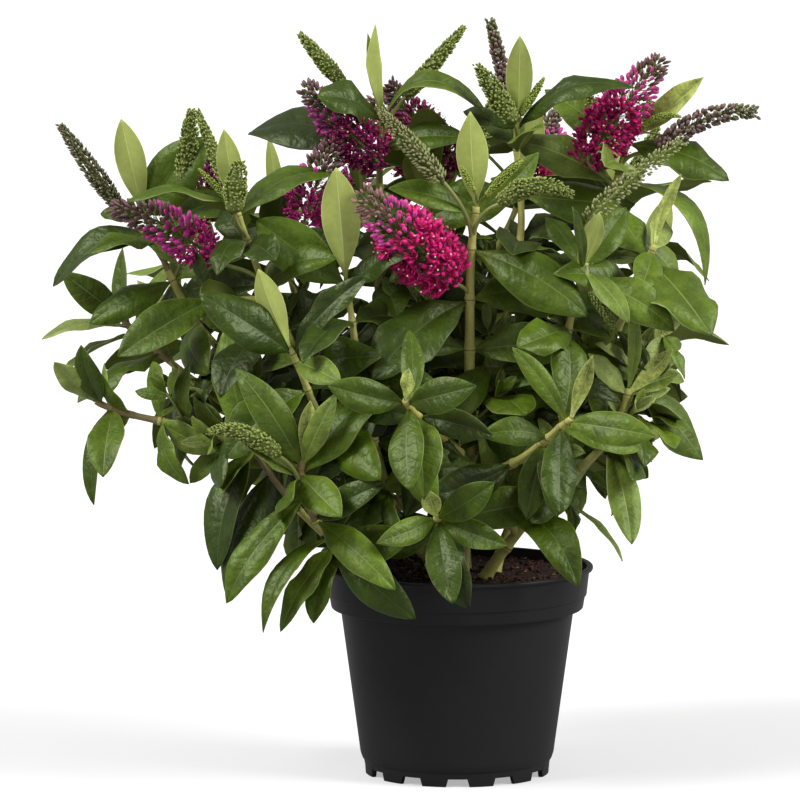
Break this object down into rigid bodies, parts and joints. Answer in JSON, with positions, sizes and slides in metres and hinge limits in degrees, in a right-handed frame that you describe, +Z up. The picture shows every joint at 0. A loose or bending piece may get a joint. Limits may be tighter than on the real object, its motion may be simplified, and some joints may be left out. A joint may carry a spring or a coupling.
{
  "type": "potted hebe shrub",
  "caption": "Bushy evergreen hebe shrub with lance-shaped leaf pairs and crimson flower spikes, standing in a round tapered black nursery pot.",
  "frame": {"origin": "centre of the pot's flat underside", "axes": "+Z up through the crown, the front of the plant looks along -Y, +X to the viewer's right"},
  "size_m": [0.4428, 0.3571, 0.4694],
  "materials": {
    "pot": "satin black",
    "soil": "crumbly, matt",
    "stem": "smooth green bark, satin",
    "foliage": "leathery, satin"
  },
  "bodies": {
    "root": {"pot": "pot", "soil": "soil", "stem_main": "stem", "stem_right": "stem", "stem_left": "stem", "stem_back_left": "stem", "stem_back": "stem", "stem_back_right": "stem", "bough_crown": "stem", "bough_top_right": "stem", "bough_top_left": "stem", "bough_back_centre": "stem", "bough_left_upper": "stem", "bough_left_top": "stem", "bough_left_mid": "stem", "bough_left_centre": "stem", "bough_left_front": "stem", "bough_low_left": "stem", "bough_front": "stem", "bough_low_front": "stem", "bough_front_right": "stem", "bough_right_upper": "stem", "bough_right_top": "stem", "bough_right_mid": "stem", "bough_right_low": "stem", "bough_low_right": "stem", "bough_far_left": "stem", "bough_back_left_top": "stem", "bough_back_top": "stem", "bough_back_right_top": "stem", "bough_back_left": "stem", "bough_back_mid": "stem", "bough_back_right": "stem", "foliage_crown": "foliage", "foliage_top_right": "foliage", "foliage_top_left": "foliage", "foliage_back_centre": "foliage", "foliage_left_upper": "foliage", "foliage_left_top": "foliage", "foliage_left_mid": "foliage", "foliage_left_centre": "foliage", "foliage_left_front": "foliage", "foliage_low_left": "foliage", "foliage_front": "foliage", "foliage_low_front": "foliage", "foliage_front_right": "foliage", "foliage_right_upper": "foliage", "foliage_right_top": "foliage", "foliage_right_mid": "foliage", "foliage_right_low": "foliage", "foliage_low_right": "foliage", "foliage_far_left": "foliage", "foliage_back_left_top": "foliage", "foliage_back_top": "foliage", "foliage_back_right_top": "foliage", "foliage_back_left": "foliage", "foliage_back_mid": "foliage", "foliage_back_right": "foliage"}
  },
  "joints": []
}
